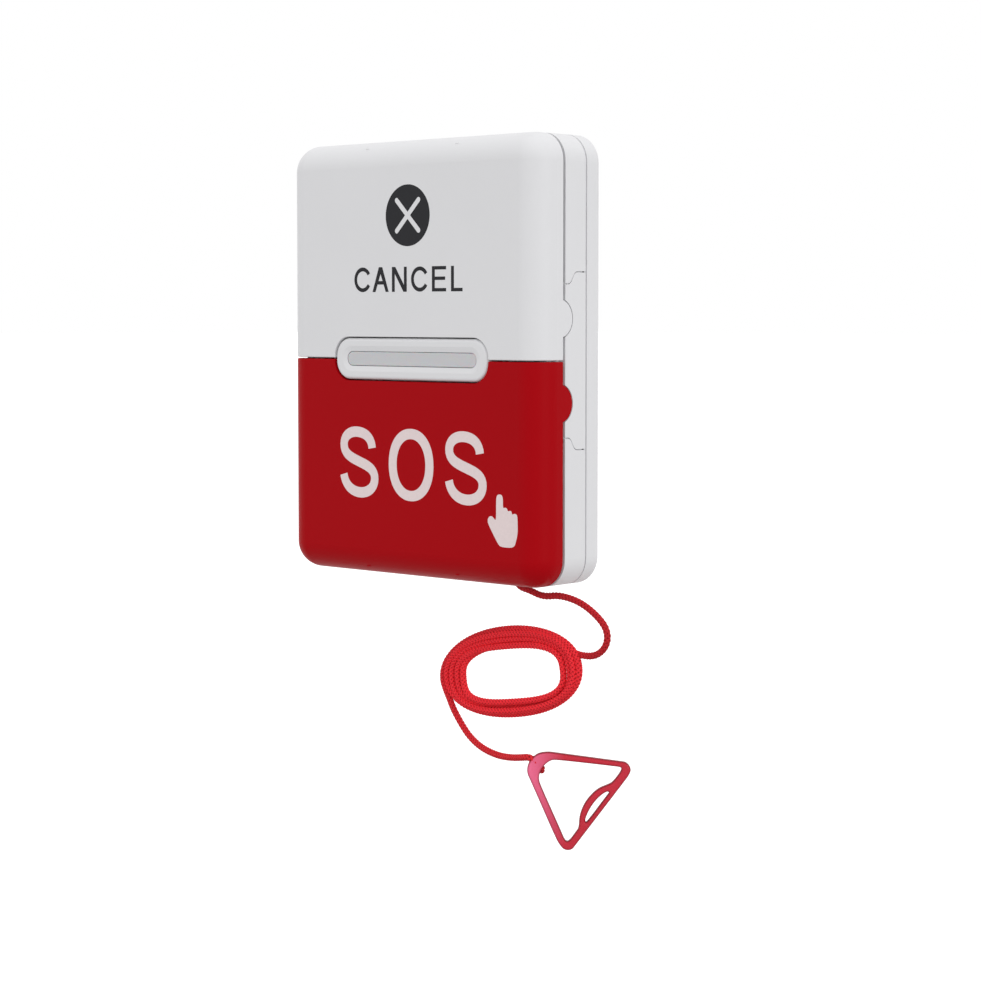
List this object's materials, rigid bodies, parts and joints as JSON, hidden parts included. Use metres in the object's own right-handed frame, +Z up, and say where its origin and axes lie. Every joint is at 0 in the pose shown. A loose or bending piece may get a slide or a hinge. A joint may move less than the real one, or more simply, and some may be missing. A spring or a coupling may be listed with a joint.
{
  "type": "wireless panic button",
  "caption": "Wall call unit with a rocking cancel button above, a rocking alarm button below, a light bar between them and a pull cord with a triangular handle.",
  "frame": {"origin": "centre of the two wall-screw holes, on the flat back face", "axes": "+Z up, +X to the right as seen from the front, +Y into the wall"},
  "size_m": [0.1084, 0.0255, 0.187],
  "materials": {
    "white_abs": "satin moulded",
    "red_abs": "satin moulded",
    "frosted_lens": "frosted translucent",
    "led_resin": "clear resin",
    "board_laminate": "solder mask",
    "zinc_steel": "zinc plated",
    "gasket_rubber": "moulded",
    "black_nylon": "moulded",
    "white_nylon": "moulded",
    "cell_jacket": "printed sleeve, plain",
    "nickel_sheet": "nickel plated",
    "brass_wire": "drawn",
    "red_cord": "braided",
    "red_handle": "translucent moulded"
  },
  "bodies": {
    "housing": {"rear_shell": "white_abs", "mid_frame": "white_abs", "pivot_carrier": "white_abs", "light_bezel": "white_abs", "light_lens": "frosted_lens", "status_leds": "led_resin", "circuit_board": "board_laminate", "board_screws": "zinc_steel", "housing_screws": "zinc_steel", "gasket": "gasket_rubber", "cancel_switch": "black_nylon", "sos_switch": "black_nylon", "battery_holder": "black_nylon", "battery_cells": "cell_jacket", "battery_contacts": "nickel_sheet", "radio_module": "nickel_sheet", "antenna": "brass_wire", "cord_bush": "white_nylon", "pull_spring": "zinc_steel", "pull_switch": "black_nylon", "cancel_pin_left": "zinc_steel", "cancel_pin_right": "zinc_steel", "sos_pin_left": "zinc_steel", "sos_pin_right": "zinc_steel"},
    "cancel_rocker": {"cancel_button": "white_abs"},
    "sos_rocker": {"sos_button": "red_abs"},
    "cancel_key": {"cancel_plunger": "white_abs"},
    "sos_key": {"sos_plunger": "red_abs"},
    "pull_key": {"pull_plunger": "white_nylon"},
    "pull_cord": {"pull_slider": "white_nylon", "cord_lead": "red_cord", "cord_coil": "red_cord", "cord_tail": "red_cord", "cord_knot": "red_cord", "pull_handle": "red_handle"}
  },
  "joints": [
    {"name": "sos_press", "type": "hinge", "parent": "housing", "child": "sos_rocker", "pos_m": [0, -0.0172, -0.01115], "axis": [1, 0, 0], "range_deg": [0, 0.7], "stiffness_Nm_per_rad": 8},
    {"name": "cancel_press", "type": "hinge", "parent": "housing", "child": "cancel_rocker", "pos_m": [0, -0.0172, 0.01115], "axis": [-1, 0, 0], "range_deg": [0, 0.7], "stiffness_Nm_per_rad": 8},
    {"name": "sos_plunger_travel", "type": "slide", "parent": "housing", "child": "sos_key", "axis": [0, 1, 0], "range_m": [0, 0.00034]},
    {"name": "cancel_plunger_travel", "type": "slide", "parent": "housing", "child": "cancel_key", "axis": [0, 1, 0], "range_m": [0, 0.00034]},
    {"name": "pull", "type": "slide", "parent": "housing", "child": "pull_cord", "axis": [0, 0, -1], "range_m": [0, 0.004], "stiffness_N_per_m": 600, "deforming": ["pull_spring"]},
    {"name": "pull_plunger_travel", "type": "slide", "parent": "housing", "child": "pull_key", "axis": [-1, 0, 0], "range_m": [0, 0.00101]}
  ],
  "couplings": [
    {"joint": "sos_plunger_travel", "follows": "sos_press", "m_per_rad": 0.02685},
    {"joint": "cancel_plunger_travel", "follows": "cancel_press", "m_per_rad": 0.02685},
    {"joint": "pull_plunger_travel", "follows": "pull", "ratio": 0.25}
  ]
}
